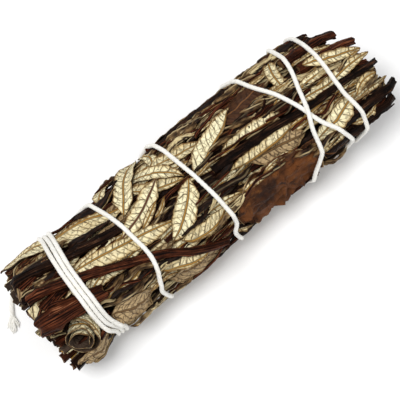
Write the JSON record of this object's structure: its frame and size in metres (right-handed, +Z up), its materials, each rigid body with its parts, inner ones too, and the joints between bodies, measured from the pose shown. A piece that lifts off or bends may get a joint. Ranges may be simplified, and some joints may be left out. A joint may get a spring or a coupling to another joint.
{
  "type": "smudge stick",
  "caption": "Bundle of dried narrow felted leaves and dark woody stems bound with a spiral of white cotton twine, lying on its side.",
  "frame": {"origin": "on the surface that the bundle lies on, under the middle of its bounding box", "axes": "+X along the bundle from the end with the threefold tie to the free end, +Z up, +Y across"},
  "size_m": [0.1074, 0.0329, 0.0308],
  "materials": {
    "reddish_bark": "satin, fibrous, slightly sticky",
    "dark_resinous_leaf": "satin, resinous",
    "brown_leaf": "satin, crumpled",
    "olive_leaf": "matte, netted veins",
    "pale_felted_leaf": "matte, felted, netted veins",
    "white_cotton_twine": "matte, twisted cotton"
  },
  "bodies": {
    "root": {"stem_01": "reddish_bark", "stem_02": "reddish_bark", "stem_03": "reddish_bark", "folded_leaf_01": "dark_resinous_leaf", "folded_leaf_02": "dark_resinous_leaf", "folded_leaf_03": "dark_resinous_leaf", "folded_leaf_04": "dark_resinous_leaf", "folded_leaf_05": "dark_resinous_leaf", "folded_leaf_06": "dark_resinous_leaf", "folded_leaf_07": "dark_resinous_leaf", "dark_stem_01": "dark_resinous_leaf", "dark_stem_02": "reddish_bark", "dark_stem_03": "dark_resinous_leaf", "rolled_leaf": "dark_resinous_leaf", "red_stem": "reddish_bark", "tip_stem_01": "reddish_bark", "tip_stem_02": "reddish_bark", "tip_stem_03": "reddish_bark", "tip_stem_04": "reddish_bark", "dark_leaf_01": "dark_resinous_leaf", "dark_leaf_02": "dark_resinous_leaf", "brown_leaf_01": "brown_leaf", "netted_leaf_01": "olive_leaf", "netted_leaf_02": "olive_leaf", "netted_leaf_03": "olive_leaf", "broad_brown_leaf": "brown_leaf", "pale_leaf_01": "pale_felted_leaf", "pale_leaf_02": "pale_felted_leaf", "pale_leaf_03": "pale_felted_leaf", "pale_leaf_04": "pale_felted_leaf", "pale_leaf_05": "pale_felted_leaf", "pale_leaf_06": "pale_felted_leaf", "pale_leaf_07": "pale_felted_leaf", "pale_leaf_08": "pale_felted_leaf", "pale_leaf_09": "pale_felted_leaf", "pale_leaf_10": "pale_felted_leaf", "pale_leaf_11": "pale_felted_leaf", "pale_leaf_12": "pale_felted_leaf", "pale_leaf_13": "pale_felted_leaf", "pale_leaf_14": "pale_felted_leaf", "pale_leaf_15": "pale_felted_leaf", "pale_leaf_16": "pale_felted_leaf", "pale_leaf_17": "pale_felted_leaf", "pale_leaf_18": "pale_felted_leaf", "pale_leaf_19": "pale_felted_leaf", "pale_leaf_20": "pale_felted_leaf", "pale_leaf_21": "pale_felted_leaf", "back_leaf_01": "olive_leaf", "back_leaf_02": "dark_resinous_leaf", "back_leaf_03": "pale_felted_leaf", "back_leaf_04": "brown_leaf", "back_leaf_05": "pale_felted_leaf", "back_leaf_06": "dark_resinous_leaf", "back_leaf_07": "dark_resinous_leaf", "back_leaf_08": "olive_leaf", "back_leaf_09": "dark_resinous_leaf", "back_leaf_10": "pale_felted_leaf", "back_leaf_11": "dark_resinous_leaf", "back_leaf_12": "olive_leaf", "twine": "white_cotton_twine"}
  },
  "joints": []
}
